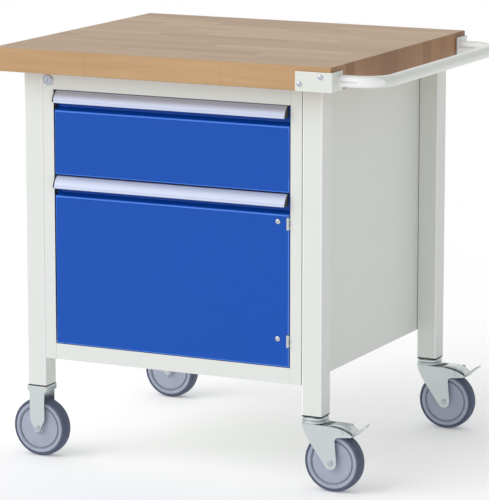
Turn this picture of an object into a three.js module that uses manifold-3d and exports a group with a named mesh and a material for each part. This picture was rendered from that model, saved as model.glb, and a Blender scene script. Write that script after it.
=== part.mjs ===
// Mobile workbench: a beech worktop on four square legs, a sheet-steel cabinet between them with one
// drawer over one side-hung door, a tubular push handle on the right and four casters, of which the
// two under the handle swivel and brake.
//
// Millimetres, +Z up, front towards -Y, right towards +X. The origin is on the floor, under the
// middle of the overall length (worktop and push handle together).

import * as THREE from 'three';
import { mergeVertices } from 'three/addons/utils/BufferGeometryUtils.js';
import Module from 'manifold-3d';

const wasm = await Module();
wasm.setup();

// ---------------------------------------------------------------- driving dimensions

// Worktop and overall size
const BENCH_WIDTH = 770;
const BENCH_DEPTH = 700;
const BENCH_HEIGHT = 880;
const WORKTOP_THICKNESS = 50;
const SIDE_OVERHANG = 42; // worktop past the legs, left and right
const FRONT_OVERHANG = 53; // worktop past the legs, at the front; the back is flush

// Fits
const TOUCH = 0.3; // between faces that are bolted, welded or pressed together
const RUN = 0.3; // radial clearance of a pin in its hole
const WELD = 0.5; // depth that a welded-on piece goes into its neighbour

// Square steel tube legs and their plastic plugs
const LEG_SIZE = 45;
const LEG_WALL = 2;
const LEG_CORNER = 4;
const LEG_BELOW_CABINET = 61;
const PLUG_FLANGE = 3;
const PLUG_INSERT = 26;
const STEM_RADIUS = 8;
const STEM_LENGTH = 23;

// Sheet-steel cabinet
const SHEET = 1.5;
const LEG_TO_CABINET = 0.6;
const CABINET_FLANGE = 25;
const TOP_RAIL_HEIGHT = 38.2;
const BOTTOM_RAIL_HEIGHT = 33.5;
const RAIL_RETURN = 15;
const DIVIDER_DROP = 4; // divider's top below the split between drawer and door
const DIVIDER_SETBACK = 7; // divider's edge behind the fronts' folded edges
const BAR_NOTCH = { side: 3, behind: 8 }; // room in the divider round the locking bar
const CATCH = { inset: 20, width: 38, depth: 16, height: 14 };
const DRAWER_MODULE = 180; // height of opening that the drawer front fills; the door fills the rest

// Drawer front and door leaf
const FRONT_GAP = 2.4; // beside a front
const FRONT_REVEAL = 1.5; // above and below a front
const FRONT_RETURN = 18; // depth of the folded edges
const GRIP_HEIGHT = 43; // from the front's top edge down to the bend of the grip recess
const GRIP_DEPTH = 16;
const GRIP_RISE = 8;

// Aluminium grip strip: a curved leaf whose section is an arc, with a flange over the recess
const STRIP_WALL = 2;
const STRIP_RADIUS = 38.4;
const STRIP_START = THREE.MathUtils.degToRad(125); // at the top edge, seen from the arc's centre
const STRIP_END = THREE.MathUtils.degToRad(168); // at the lip
const CAP_THICKNESS = 2.3;
const CAP_PROUD = 0.8;
const STRIP_INSET = 2; // strip and caps stop short of the front's ends

// Drawer tray and its telescopic slides
const TRAY_SIDE_GAP = 18.4; // tray's side to the opening's edge, for the slide
const TRAY_BOTTOM_GAP = 8.5; // drawer front's lower edge to the tray's bottom
const TRAY_TOP_GAP = 40; // how much lower than the opening the tray's sides are
const SLIDE_REAR_GAP = 45.7; // behind the fixed members
const FIXED_BEHIND_BAR = 5; // where the fixed members start, behind the locking bar
const MOVING_BEHIND_FRONT = { middle: 6, inner: 3 }; // and the others, behind the front's edges
const SLIDE_HEIGHT = 45;
const SLIDE_WALL = 2;
const SLIDE_PLAY = 0.8;

// Door hinges
const HINGE_HEIGHT = 24;
const HINGE_FROM_TOP = 60;
const HINGE_FROM_BOTTOM = 54.5;
const HINGE_LEAF = 1.2;
const KNUCKLE_RADIUS = 3.2;
const HINGE_PIN_RADIUS = 1.5;
const HINGE_PROUD = 2; // pin's axis in front of the door's face
const HINGE_INSET = 2; // pin's axis inside the door's edge

// Lock and locking bar
const LOCK_BELOW_TOP = 19.7;
const LOCK_FLANGE_RADIUS = 11.5;
const LOCK_FLANGE = 2.5; // how far the flange stands off the cabinet
const LOCK_BARREL_RADIUS = 8;
const LOCK_PLUG_RADIUS = 5;
const LOCK_DEPTH = 25;
const KEYWAY = { halfWidth: 0.7, halfHeight: 3.4, depth: 4 };
const LOCK_THROW = 6; // lift of the bar over a quarter turn
const CAM_PIN_RADIUS = 1.8;
const BAR_WIDTH = 14;
const BAR_THICKNESS = 3;
const BAR_PLAY = 2; // cam to bar
const BAR_HEAD = { side: 10.3, below: 14, above: 9 }; // from the lock's centre
const SLOT_PLAY = 0.8; // cam pin in the bar's slot
const SINE_EXCESS = 0.22; // most that the sine of a quarter turn runs ahead of the turn, as a share
const TONGUE_HEIGHT = 12;
const TONGUE_REACH = 10; // past the opening's edge
const DRAWER_TONGUE_RISE = 20; // tray's bottom to the top of the drawer's tongue
const DOOR_TONGUE_DROP = 66; // divider to the top of the door's tongue
const HOOK_GAP = 6; // tongue to the hook behind it
const HOOK_LIFT = 1.5; // lowered tongue to the hook's lower edge
const HOOK_SIDE = 4; // opening's edge to the drawer's hook
const HOOK_TO_SLIDE = 6; // top of the drawer's hook to the slide above it
const DOOR_HOOK = { height: 44, width: 7, arm: 2, armRise: 26 };

// Push handle and its corner brackets
const HANDLE_REACH = 92; // worktop's right edge to the tube's centre line
const HANDLE_INSET = 37; // worktop's front edge to the tube's centre line, and the same at the back
const HANDLE_TUBE_RADIUS = 12.5;
const HANDLE_TUBE_WALL = 2;
const HANDLE_BEND = 57;
const BRACKET_LENGTH = 77;
const BRACKET_RETURN = 50;
const BRACKET_HEIGHT = 39.5;
const BRACKET_PLATE = 3;

// Casters
const WHEEL_DIAMETER = 125;
const TREAD_WIDTH = 32;
const HUB_WIDTH = 40;
const HUB_RADIUS = 13;
const TYRE_DEPTH = 11.5;
const TYRE_SHOULDER = 7; // tread's rounded edge
const CASTER_HEADROOM = 29; // wheel's top to the underside of the leg plug
const AXLE_RADIUS = 4;
const AXLE_HEAD_RADIUS = 6.5;
const AXLE_HEAD = 2;
const FORK_WALL = 2.5;
const FORK_SIDE_GAP = 1; // hub's face to the fork
const FIXED_FORK_WIDTH = 35;
const FIXED_SHOULDER = 10; // height of the fixed fork's broad top
const FIXED_TAPER = 18; // axle to where the fork's sides run straight
const SWIVEL_TRAIL = 43;
const FORK_EYE_RADIUS = 13.5;
const FORK_NOSE = 29; // swivel axis to the fork's leading end
const FORK_ARM_REACH = 46; // axle to the end of the arms that carry the pedal
const FORK_ARM_DROP = 16;
const FORK_ARM_HEIGHT = 23;
const RACE_HEIGHT = 14;
const RACE_RADIUS = 28;
const RACE_STEP = 1.5; // how much smaller the upper cup is
const KINGPIN_HEAD = { radius: 10, height: 2.5 };
const KINGPIN_RADIUS = 6;
const PEDAL_REACH = 117; // swivel axis to the pedal's tip
const PEDAL_WIDTH = 30;
const PEDAL_DROP = 12; // leg plug to the top of the pedal's cover
const PADDLE_INSET = 4; // paddle's sides inside the cover's
const PEDAL_PIN_RADIUS = 3;
const PEDAL_PIN = { behindAxle: 26, aboveWheel: 3 };

// ---------------------------------------------------------------- places worked out from them

const LEG_X = BENCH_WIDTH / 2 - SIDE_OVERHANG - LEG_SIZE / 2;
const FRONT_Y = -BENCH_DEPTH / 2 + FRONT_OVERHANG;
const BACK_Y = BENCH_DEPTH / 2;
const LEG_FRONT_Y = FRONT_Y + LEG_SIZE / 2;
const LEG_BACK_Y = BACK_Y - LEG_SIZE / 2;
const WORKTOP_BOTTOM = BENCH_HEIGHT - WORKTOP_THICKNESS;

const WHEEL_RADIUS = WHEEL_DIAMETER / 2;
const CASTER_TOP = WHEEL_DIAMETER + CASTER_HEADROOM;
const LEG_BOTTOM = CASTER_TOP + PLUG_FLANGE;

const CABINET_X = LEG_X - LEG_SIZE / 2 - LEG_TO_CABINET;
const CABINET_BOTTOM = LEG_BOTTOM + LEG_BELOW_CABINET;
const CABINET_TOP = WORKTOP_BOTTOM - TOUCH;
const OPENING_X = CABINET_X - CABINET_FLANGE;
const OPENING_TOP = CABINET_TOP - TOP_RAIL_HEIGHT;
const OPENING_BOTTOM = CABINET_BOTTOM + BOTTOM_RAIL_HEIGHT;
const MODULE_SPLIT = OPENING_TOP - DRAWER_MODULE;
const FLOOR_TOP = OPENING_BOTTOM;
const INNER_X = CABINET_X - SHEET - TOUCH;
const INNER_BACK = BACK_Y - 1 - SHEET - TOUCH;

const FRONT_X = OPENING_X - FRONT_GAP;
const FRONT_BACK = FRONT_Y + FRONT_RETURN;
const RECESS_BACK = FRONT_Y + GRIP_DEPTH + SHEET;
const STRIP_HALF = FRONT_X - STRIP_INSET;
const DRAWER_FRONT = { bottom: MODULE_SPLIT + FRONT_REVEAL, top: OPENING_TOP - FRONT_REVEAL };
const DOOR_LEAF = { bottom: OPENING_BOTTOM + FRONT_REVEAL, top: MODULE_SPLIT - FRONT_REVEAL };

const TRAY_X = OPENING_X - TRAY_SIDE_GAP;
const TRAY_BOTTOM = DRAWER_FRONT.bottom + TRAY_BOTTOM_GAP;
const TRAY_HEIGHT = DRAWER_MODULE - TRAY_TOP_GAP;
const SLIDE_Z = TRAY_BOTTOM + TRAY_HEIGHT / 2;

const LOCK_X = -(OPENING_X + CABINET_X) / 2;
const LOCK_Z = CABINET_TOP - LOCK_BELOW_TOP;
const CAM_FRONT = FRONT_Y + LOCK_DEPTH;
const CAM_THICKNESS = 2;
const BAR_FRONT = CAM_FRONT + CAM_THICKNESS + BAR_PLAY;
const BAR_BACK = BAR_FRONT + BAR_THICKNESS;
const HOOK_FRONT = BAR_BACK + HOOK_GAP;
const DIVIDER_TOP = MODULE_SPLIT - DIVIDER_DROP;
const DRAWER_TONGUE = TRAY_BOTTOM + DRAWER_TONGUE_RISE;
const DOOR_TONGUE = DIVIDER_TOP - DOOR_TONGUE_DROP;

const SLIDE_STARTS = {
  fixed: BAR_BACK + FIXED_BEHIND_BAR,
  middle: FRONT_BACK + MOVING_BEHIND_FRONT.middle,
  inner: FRONT_BACK + MOVING_BEHIND_FRONT.inner,
};
const SLIDE_LENGTH = INNER_BACK - SHEET - SLIDE_REAR_GAP - SLIDE_STARTS.fixed;

const BRACKET_BOTTOM = WORKTOP_BOTTOM;
const HANDLE_X = BENCH_WIDTH / 2 + HANDLE_REACH;
const HANDLE_Y = BENCH_DEPTH / 2 - HANDLE_INSET;
const HANDLE_Z = BRACKET_BOTTOM + BRACKET_HEIGHT / 2;
const ORIGIN_X = (HANDLE_X + HANDLE_TUBE_RADIUS - BENCH_WIDTH / 2) / 2;

const FORK_INNER = HUB_WIDTH / 2 + FORK_SIDE_GAP;
const FORK_OUTER = FORK_INNER + FORK_WALL;
const FORK_ARM_END = SWIVEL_TRAIL + FORK_ARM_REACH;
const PEDAL_PIVOT = {
  x: SWIVEL_TRAIL + PEDAL_PIN.behindAxle,
  z: WHEEL_DIAMETER + PEDAL_PIN.aboveWheel,
};

// ---------------------------------------------------------------- finishes

const finish = (color, roughness, metalness = 0) =>
  new THREE.MeshStandardMaterial({ color, roughness, metalness });

const beech = finish(0xc39a6b, 0.55);
const greyPaint = finish(0xdfe1dc, 0.5);
const bluePaint = finish(0x2456b8, 0.45);
const aluminium = finish(0xc9cbdc, 0.35, 0.9);
const blackPlastic = finish(0x262a28, 0.6);
const zinc = finish(0xb9c0c0, 0.35, 0.9);
const chrome = finish(0xd8dade, 0.15, 1);
const wheelGrey = finish(0x8d94a3, 0.6);

// ---------------------------------------------------------------- solids

function toSolid(geometry) {
  const bare = geometry.clone();
  bare.deleteAttribute('normal');
  bare.deleteAttribute('uv');
  const merged = mergeVertices(bare, 1e-4);
  return new wasm.Manifold(new wasm.Mesh({
    numProp: 3,
    vertProperties: new Float32Array(merged.attributes.position.array),
    triVerts: new Uint32Array(merged.index.array),
  }));
}

function toGeometry(solid) {
  const { vertProperties, triVerts } = solid.getMesh();
  const geometry = new THREE.BufferGeometry();
  geometry.setAttribute('position', new THREE.BufferAttribute(new Float32Array(vertProperties), 3));
  geometry.setIndex(new THREE.BufferAttribute(new Uint32Array(triVerts), 1));
  geometry.computeVertexNormals();
  return geometry;
}

const join = (...pieces) => toGeometry(pieces.map(toSolid).reduce((a, b) => a.add(b)));
const cut = (body, ...tools) =>
  toGeometry(tools.map(toSolid).reduce((a, b) => a.subtract(b), toSolid(body)));
const common = (a, b) => toGeometry(toSolid(a).intersect(toSolid(b)));

// A box between two values on each axis.
const block = ([x0, x1], [y0, y1], [z0, z1]) =>
  new THREE.BoxGeometry(x1 - x0, y1 - y0, z1 - z0)
    .translate((x0 + x1) / 2, (y0 + y1) / 2, (z0 + z1) / 2);

// An outline drawn in X and Y, raised from z0 to z1.
const raise = (shape, z0, z1, curveSegments = 6) =>
  new THREE.ExtrudeGeometry(shape, { depth: z1 - z0, bevelEnabled: false, curveSegments })
    .translate(0, 0, z0);

// An outline drawn in X and Z, as seen from the front, stretched from y0 to y1.
const stretchY = (shape, y0, y1, curveSegments = 6) =>
  new THREE.ExtrudeGeometry(shape, { depth: y1 - y0, bevelEnabled: false, curveSegments })
    .rotateX(Math.PI / 2)
    .translate(0, y1, 0);

// A section drawn in Y and Z, as seen from the right, stretched from x0 to x1.
const stretchX = (shape, x0, x1, curveSegments = 6) =>
  new THREE.ExtrudeGeometry(shape, { depth: x1 - x0, bevelEnabled: false, curveSegments })
    .applyMatrix4(new THREE.Matrix4().set(0, 0, 1, x0, 1, 0, 0, 0, 0, 1, 0, 0, 0, 0, 0, 1));

// A turned piece about Y, from [radius, y] pairs; upright() stands it about Z.
const turned = (profile, segments) =>
  new THREE.LatheGeometry(profile.map(([r, y]) => new THREE.Vector2(r, y)), segments);
const upright = (geometry) => geometry.rotateX(Math.PI / 2);

const rodY = (radius, y0, y1, segments = 16) =>
  new THREE.CylinderGeometry(radius, radius, y1 - y0, segments).translate(0, (y0 + y1) / 2, 0);
const rodZ = (radius, z0, z1, segments = 16) =>
  new THREE.CylinderGeometry(radius, radius, z1 - z0, segments)
    .rotateX(Math.PI / 2)
    .translate(0, 0, (z0 + z1) / 2);

const outline = (points) => new THREE.Shape(points.map(([a, b]) => new THREE.Vector2(a, b)));

function roundedSquare(size, radius, target = new THREE.Shape()) {
  const h = size / 2;
  const c = h - radius;
  target.moveTo(-c, -h);
  target.lineTo(c, -h);
  target.absarc(c, -c, radius, -Math.PI / 2, 0);
  target.lineTo(h, c);
  target.absarc(c, c, radius, 0, Math.PI / 2);
  target.lineTo(-c, h);
  target.absarc(-c, c, radius, Math.PI / 2, Math.PI);
  target.lineTo(-h, -c);
  target.absarc(-c, -c, radius, Math.PI, Math.PI * 1.5);
  return target;
}

// The section of a sheet folded along a line of points, with its thickness to the left of the line.
function folded(points, thickness = SHEET) {
  const line = points.map(([a, b]) => new THREE.Vector2(a, b));
  const side = (from, to) => {
    const d = to.clone().sub(from).normalize();
    return new THREE.Vector2(-d.y, d.x);
  };
  const inner = line.map((p, i) => {
    const before = i > 0 ? side(line[i - 1], p) : side(p, line[i + 1]);
    const after = i < line.length - 1 ? side(p, line[i + 1]) : before;
    const middle = before.clone().add(after).normalize();
    return p.clone().addScaledVector(middle, thickness / middle.dot(before));
  });
  return new THREE.Shape([...line, ...inner.reverse()]);
}

const bench = new THREE.Group();

function add(name, geometry, material, parent = bench, [x, y, z] = [0, 0, 0]) {
  const mesh = new THREE.Mesh(geometry, material);
  mesh.name = name;
  mesh.position.set(x, y, z);
  parent.add(mesh);
  return mesh;
}

const SIDES = [['left', -1], ['right', 1]];
const ENDS = [['front', LEG_FRONT_Y], ['back', LEG_BACK_Y]];

// ---------------------------------------------------------------- worktop

// Solid beech board that lies on the legs and the cabinet's top flanges.
function makeWorktop() {
  add('worktop', new THREE.BoxGeometry(BENCH_WIDTH, BENCH_DEPTH, WORKTOP_THICKNESS), beech, bench,
    [0, 0, BENCH_HEIGHT - WORKTOP_THICKNESS / 2]);
}

// ---------------------------------------------------------------- legs and plugs

function legGeometry() {
  const section = roundedSquare(LEG_SIZE, LEG_CORNER);
  section.holes.push(roundedSquare(LEG_SIZE - 2 * LEG_WALL, LEG_CORNER - LEG_WALL, new THREE.Path()));
  return raise(section, 0, WORKTOP_BOTTOM - TOUCH - LEG_BOTTOM, 2);
}

// A plug is pressed into the tube; its flange hides the cut end and its bore takes the caster's stem.
function plugGeometry() {
  const insertSize = LEG_SIZE - 2 * LEG_WALL - 2 * TOUCH;
  const flange = raise(roundedSquare(LEG_SIZE, LEG_CORNER), -PLUG_FLANGE + TOUCH, -TOUCH, 2);
  const insert = raise(roundedSquare(insertSize, LEG_CORNER - LEG_WALL), -2 * TOUCH, PLUG_INSERT, 2);
  return cut(join(flange, insert), rodZ(STEM_RADIUS + RUN, -PLUG_FLANGE, PLUG_INSERT + 1));
}

function makeLegs() {
  for (const [end, y] of ENDS) {
    for (const [side, sign] of SIDES) {
      add(`leg_${end}_${side}`, legGeometry(), greyPaint, bench, [sign * LEG_X, y, LEG_BOTTOM]);
      add(`leg_plug_${end}_${side}`, plugGeometry(), blackPlastic, bench,
        [sign * LEG_X, y, LEG_BOTTOM]);
    }
  }
}

// ---------------------------------------------------------------- cabinet

// The left side, folded inwards at all four edges. The front flange carries the lock.
function sidePanelGeometry(withLock) {
  const inward = [-CABINET_X, -OPENING_X];
  const depth = [FRONT_Y, BACK_Y - 1];
  const height = [CABINET_BOTTOM, CABINET_TOP];
  const panel = join(
    block([-CABINET_X, -CABINET_X + SHEET], depth, height),
    block(inward, [FRONT_Y, FRONT_Y + SHEET], height),
    block(inward, [BACK_Y - 1 - SHEET, BACK_Y - 1], height),
    block(inward, depth, [CABINET_TOP - SHEET, CABINET_TOP]),
    block(inward, depth, [CABINET_BOTTOM, CABINET_BOTTOM + SHEET]),
  );
  if (!withLock) return panel;
  const lockHole = rodY(LOCK_BARREL_RADIUS + RUN, FRONT_Y - 1, FRONT_Y + SHEET + 1)
    .translate(LOCK_X, 0, LOCK_Z);
  return cut(panel, lockHole);
}

// A front rail is a folded strip between the side flanges, with a return along each long edge.
function railGeometry(bottom, top, upperReturn, lowerReturn) {
  const section = folded([
    [FRONT_Y + upperReturn, top],
    [FRONT_Y, top],
    [FRONT_Y, bottom],
    [FRONT_Y + lowerReturn, bottom],
  ]);
  return stretchX(section, -OPENING_X + TOUCH, OPENING_X - TOUCH);
}

function makeCabinet() {
  for (const [side, sign] of SIDES) {
    add(`side_panel_${side}`, sidePanelGeometry(side === 'left'), greyPaint).scale.x = -sign;
  }
  const between = [-INNER_X, INNER_X];
  const insideFlanges = [CABINET_BOTTOM + SHEET + TOUCH, CABINET_TOP - SHEET - TOUCH];
  add('back_panel', block(between, [INNER_BACK - SHEET, INNER_BACK], insideFlanges), greyPaint);
  add('front_rail_top', railGeometry(OPENING_TOP, CABINET_TOP, CABINET_FLANGE, RAIL_RETURN), greyPaint);
  add('front_rail_bottom',
    railGeometry(CABINET_BOTTOM, OPENING_BOTTOM, CABINET_FLANGE, CABINET_FLANGE), greyPaint);

  const floorFront = FRONT_Y + CABINET_FLANGE + TOUCH;
  const floorBack = INNER_BACK - SHEET - TOUCH;
  add('floor_panel', block(between, [floorFront, floorBack], [FLOOR_TOP - SHEET, FLOOR_TOP]), greyPaint);

  // The divider under the drawer is notched at its front corners for the locking bar.
  const dividerFront = FRONT_BACK + DIVIDER_SETBACK;
  const notchX = OPENING_X + BAR_NOTCH.side;
  const notchBack = BAR_BACK + BAR_NOTCH.behind;
  const dividerOutline = outline([
    [-notchX, dividerFront], [notchX, dividerFront], [notchX, notchBack], [INNER_X, notchBack],
    [INNER_X, floorBack], [-INNER_X, floorBack], [-INNER_X, notchBack], [-notchX, notchBack],
  ]);
  add('divider_panel', raise(dividerOutline, DIVIDER_TOP - SHEET, DIVIDER_TOP), greyPaint);

  // Magnetic catch, hung under the divider just behind the door.
  const catchLeft = -FRONT_X + CATCH.inset;
  const catchFront = RECESS_BACK + TOUCH;
  const catchTop = DIVIDER_TOP - SHEET - TOUCH;
  add('door_catch', block([catchLeft, catchLeft + CATCH.width],
    [catchFront, catchFront + CATCH.depth], [catchTop - CATCH.height, catchTop]), blackPlastic);
}

// ---------------------------------------------------------------- fronts, grip strips and caps

// A front sheet: flat face, a sloping step back under the grip strip, and folded edges all round.
function frontGeometry({ bottom, top }) {
  const seat = top - STRIP_WALL - TOUCH;
  const bend = top - GRIP_HEIGHT;
  const recess = FRONT_Y + GRIP_DEPTH;
  const mitre = SHEET * Math.tan(Math.atan2(GRIP_DEPTH, GRIP_RISE) / 2);
  const outside = outline([
    [FRONT_BACK, bottom], [FRONT_Y, bottom], [FRONT_Y, bend], [recess, bend + GRIP_RISE],
    [recess, seat], [FRONT_BACK, seat],
  ]);
  const pocket = outline([
    [FRONT_BACK + 1, bottom + SHEET], [FRONT_Y + SHEET, bottom + SHEET],
    [FRONT_Y + SHEET, bend - mitre], [RECESS_BACK, bend + GRIP_RISE - mitre],
    [RECESS_BACK, seat + 1], [FRONT_BACK + 1, seat + 1],
  ]);
  return cut(
    stretchX(outside, -FRONT_X, FRONT_X),
    stretchX(pocket, -FRONT_X + SHEET, FRONT_X - SHEET),
  );
}

// Centre of the strip's arc, placed so that the arc's upper end is the front's top edge.
const stripCentre = (top) => [
  FRONT_Y - STRIP_RADIUS * Math.cos(STRIP_START),
  top - STRIP_RADIUS * Math.sin(STRIP_START),
];

function gripStripGeometry(top) {
  const [y, z] = stripCentre(top);
  const section = new THREE.Shape();
  section.moveTo(FRONT_BACK, top);
  section.lineTo(FRONT_Y, top);
  section.absarc(y, z, STRIP_RADIUS, STRIP_START, STRIP_END, false);
  section.absarc(y, z, STRIP_RADIUS - STRIP_WALL, STRIP_END, STRIP_START, true);
  section.lineTo(FRONT_BACK, top - STRIP_WALL);
  const half = STRIP_HALF - CAP_THICKNESS - TOUCH;
  return stretchX(section, -half, half, 8);
}

// A cap closes one end of a strip, from its arc back to the front's face.
function stripCapGeometry(top) {
  const [y, z] = stripCentre(top);
  const radius = STRIP_RADIUS + CAP_PROUD;
  const lip = z + radius * Math.sin(STRIP_END);
  const section = new THREE.Shape();
  section.moveTo(FRONT_Y + 2, lip);
  section.lineTo(FRONT_Y + 2, top);
  section.lineTo(FRONT_Y, top);
  section.absarc(y, z, radius, STRIP_START, STRIP_END, false);
  return stretchX(section, -CAP_THICKNESS / 2, CAP_THICKNESS / 2, 8);
}

function addGrip(prefix, top) {
  add(`${prefix}_grip_strip`, gripStripGeometry(top), aluminium);
  for (const [side, sign] of SIDES) {
    add(`${prefix}_strip_cap_${side}`, stripCapGeometry(top), blackPlastic, bench,
      [sign * (STRIP_HALF - CAP_THICKNESS / 2), 0, 0]);
  }
}

// ---------------------------------------------------------------- drawer and slides

// Open tray behind the drawer front. The hook on its left side drops behind the bar's tongue.
function trayGeometry() {
  const front = RECESS_BACK + TOUCH;
  const back = front + SLIDE_LENGTH;
  const top = TRAY_BOTTOM + TRAY_HEIGHT;
  const shell = cut(
    block([-TRAY_X, TRAY_X], [front, back], [TRAY_BOTTOM, top]),
    block([-TRAY_X + SHEET, TRAY_X - SHEET], [front + SHEET, back - SHEET],
      [TRAY_BOTTOM + SHEET, top + 1]),
  );
  const hookBottom = DRAWER_TONGUE + HOOK_LIFT;
  const hookTop = SLIDE_Z - SLIDE_HEIGHT / 2 - HOOK_TO_SLIDE;
  const hook = block([-OPENING_X + HOOK_SIDE, -TRAY_X + WELD], [HOOK_FRONT, HOOK_FRONT + SHEET],
    [hookBottom, hookTop]);
  return join(shell, hook);
}

// The three members of the right-hand slide nest inside one another. Seen from the front, each is a
// channel on its side; the left-hand ones are mirrored.
function slideSections() {
  const channel = (web, tip, half, wall) => {
    const inner = web + Math.sign(tip - web) * wall;
    return outline([
      [web, -half], [tip, -half], [tip, -half + wall], [inner, -half + wall],
      [inner, half - wall], [tip, half - wall], [tip, half], [web, half],
    ]);
  };
  const fixedHalf = SLIDE_HEIGHT / 2;
  const middleHalf = fixedHalf - SLIDE_WALL - SLIDE_PLAY;
  const innerHalf = middleHalf - SHEET - SLIDE_PLAY;
  const middleWeb = OPENING_X - 1;
  const innerWeb = TRAY_X + TOUCH;
  return {
    fixed: channel(INNER_X, middleWeb - SLIDE_WALL * 3, fixedHalf, SLIDE_WALL),
    middle: channel(middleWeb, innerWeb + SLIDE_WALL * 2, middleHalf, SHEET),
    inner: channel(innerWeb, middleWeb - SHEET - SLIDE_PLAY, innerHalf, SHEET),
  };
}

function makeDrawer() {
  add('drawer_front', frontGeometry(DRAWER_FRONT), bluePaint);
  add('drawer_tray', trayGeometry(), greyPaint);
  addGrip('drawer', DRAWER_FRONT.top);

  for (const [member, section] of Object.entries(slideSections())) {
    for (const [side, sign] of SIDES) {
      const rail = stretchY(section, SLIDE_STARTS[member], SLIDE_STARTS[member] + SLIDE_LENGTH);
      add(`slide_${member}_${side}`, rail, zinc, bench, [0, 0, SLIDE_Z]).scale.x = sign;
    }
  }
}

// ---------------------------------------------------------------- door and hinges

const HINGES = [
  ['top', DOOR_LEAF.top - HINGE_FROM_TOP],
  ['bottom', DOOR_LEAF.bottom + HINGE_FROM_BOTTOM],
];
const PIN_X = FRONT_X - HINGE_INSET;
const PIN_Y = FRONT_Y - HINGE_PROUD;
const LEAF_REACH = INNER_X - TOUCH - PIN_X;

function doorGeometry() {
  const notches = HINGES.map(([, z]) => block(
    [PIN_X - KNUCKLE_RADIUS - 0.5, FRONT_X + 1],
    [FRONT_Y - 1, FRONT_BACK + 1],
    [z - HINGE_HEIGHT / 2 - 1, z + HINGE_HEIGHT / 2 + 1],
  ));
  // The hook hangs behind the bar's tongue, from an arm welded inside the door's left edge.
  const hookBottom = DOOR_TONGUE + HOOK_LIFT;
  const hookTop = hookBottom + DOOR_HOOK.height;
  const armX = -FRONT_X + SHEET - WELD;
  const arm = block([armX, armX + DOOR_HOOK.arm], [FRONT_BACK - FRONT_RETURN / 2, HOOK_FRONT + WELD],
    [hookBottom + DOOR_HOOK.armRise, hookTop - 1]);
  const hook = block([armX, armX + DOOR_HOOK.width], [HOOK_FRONT, HOOK_FRONT + SHEET],
    [hookBottom, hookTop]);
  return join(cut(frontGeometry(DOOR_LEAF), ...notches), arm, hook);
}

// One leaf in its own frame, with the pin on the Z axis: a flat plate behind the sheet, a short web
// past the sheet's edge, and knuckles between the given heights. It reaches towards +X.
function hingeLeafGeometry(knuckles) {
  const sheetBack = HINGE_PROUD + SHEET + TOUCH;
  const plateY = [sheetBack, sheetBack + HINGE_LEAF];
  const web = [KNUCKLE_RADIUS - HINGE_LEAF, KNUCKLE_RADIUS];
  const pieces = [
    block([web[0], LEAF_REACH], plateY, [-HINGE_HEIGHT / 2, HINGE_HEIGHT / 2]),
    ...knuckles.flatMap(([low, high]) => [
      block(web, [0, plateY[1]], [low, high]),
      rodZ(KNUCKLE_RADIUS, low, high, 12),
    ]),
  ];
  return cut(join(...pieces), rodZ(HINGE_PIN_RADIUS + RUN, -HINGE_HEIGHT, HINGE_HEIGHT, 8));
}

function hingePinGeometry() {
  const half = HINGE_HEIGHT / 2;
  const head = HINGE_PIN_RADIUS + 1;
  const profile = [
    [0, -half - 0.9], [head, -half - 0.9], [head, -half - TOUCH], [HINGE_PIN_RADIUS, -half - TOUCH],
    [HINGE_PIN_RADIUS, half + TOUCH], [head, half + TOUCH], [head, half + 0.9], [0, half + 0.9],
  ];
  return upright(turned(profile, 8));
}

function makeDoor() {
  add('door_leaf', doorGeometry(), bluePaint);
  addGrip('door', DOOR_LEAF.top);

  const half = HINGE_HEIGHT / 2;
  const split = half / 3;
  for (const [place, z] of HINGES) {
    const hinge = new THREE.Group();
    hinge.position.set(PIN_X, PIN_Y, z);
    bench.add(hinge);
    const outer = hingeLeafGeometry([[-half, -split - RUN], [split + RUN, half]]);
    add(`hinge_${place}_frame_leaf`, outer, zinc, hinge);
    add(`hinge_${place}_door_leaf`, hingeLeafGeometry([[-split, split]]), zinc, hinge).scale.x = -1;
    add(`hinge_${place}_pin`, hingePinGeometry(), zinc, hinge);
  }
}

// ---------------------------------------------------------------- lock and locking bar

function lockHousingGeometry() {
  const bore = LOCK_PLUG_RADIUS + RUN;
  return turned([
    [bore, -LOCK_FLANGE], [LOCK_FLANGE_RADIUS - 1, -LOCK_FLANGE],
    [LOCK_FLANGE_RADIUS, 1 - LOCK_FLANGE], [LOCK_FLANGE_RADIUS, -TOUCH],
    [LOCK_BARREL_RADIUS, -TOUCH], [LOCK_BARREL_RADIUS, LOCK_DEPTH - 1],
    [bore, LOCK_DEPTH - 1], [bore, -LOCK_FLANGE],
  ], 20);
}

// The plug turns in the housing. Its cam carries a pin that lifts the bar.
function lockPlugGeometry() {
  const face = TOUCH - LOCK_FLANGE;
  const plug = rodY(LOCK_PLUG_RADIUS, face, LOCK_DEPTH + WELD);
  const cam = rodY(LOCK_THROW + CAM_PIN_RADIUS, LOCK_DEPTH, LOCK_DEPTH + CAM_THICKNESS);
  const pinEnd = LOCK_DEPTH + CAM_THICKNESS + BAR_PLAY + BAR_THICKNESS - 1;
  const pin = rodY(CAM_PIN_RADIUS, LOCK_DEPTH + 1, pinEnd, 8).translate(LOCK_THROW, 0, 0);
  const keyway = block([-KEYWAY.halfWidth, KEYWAY.halfWidth], [face - 1, face + KEYWAY.depth],
    [-KEYWAY.halfHeight, KEYWAY.halfHeight]);
  return cut(join(plug, cam, pin), keyway);
}

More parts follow.
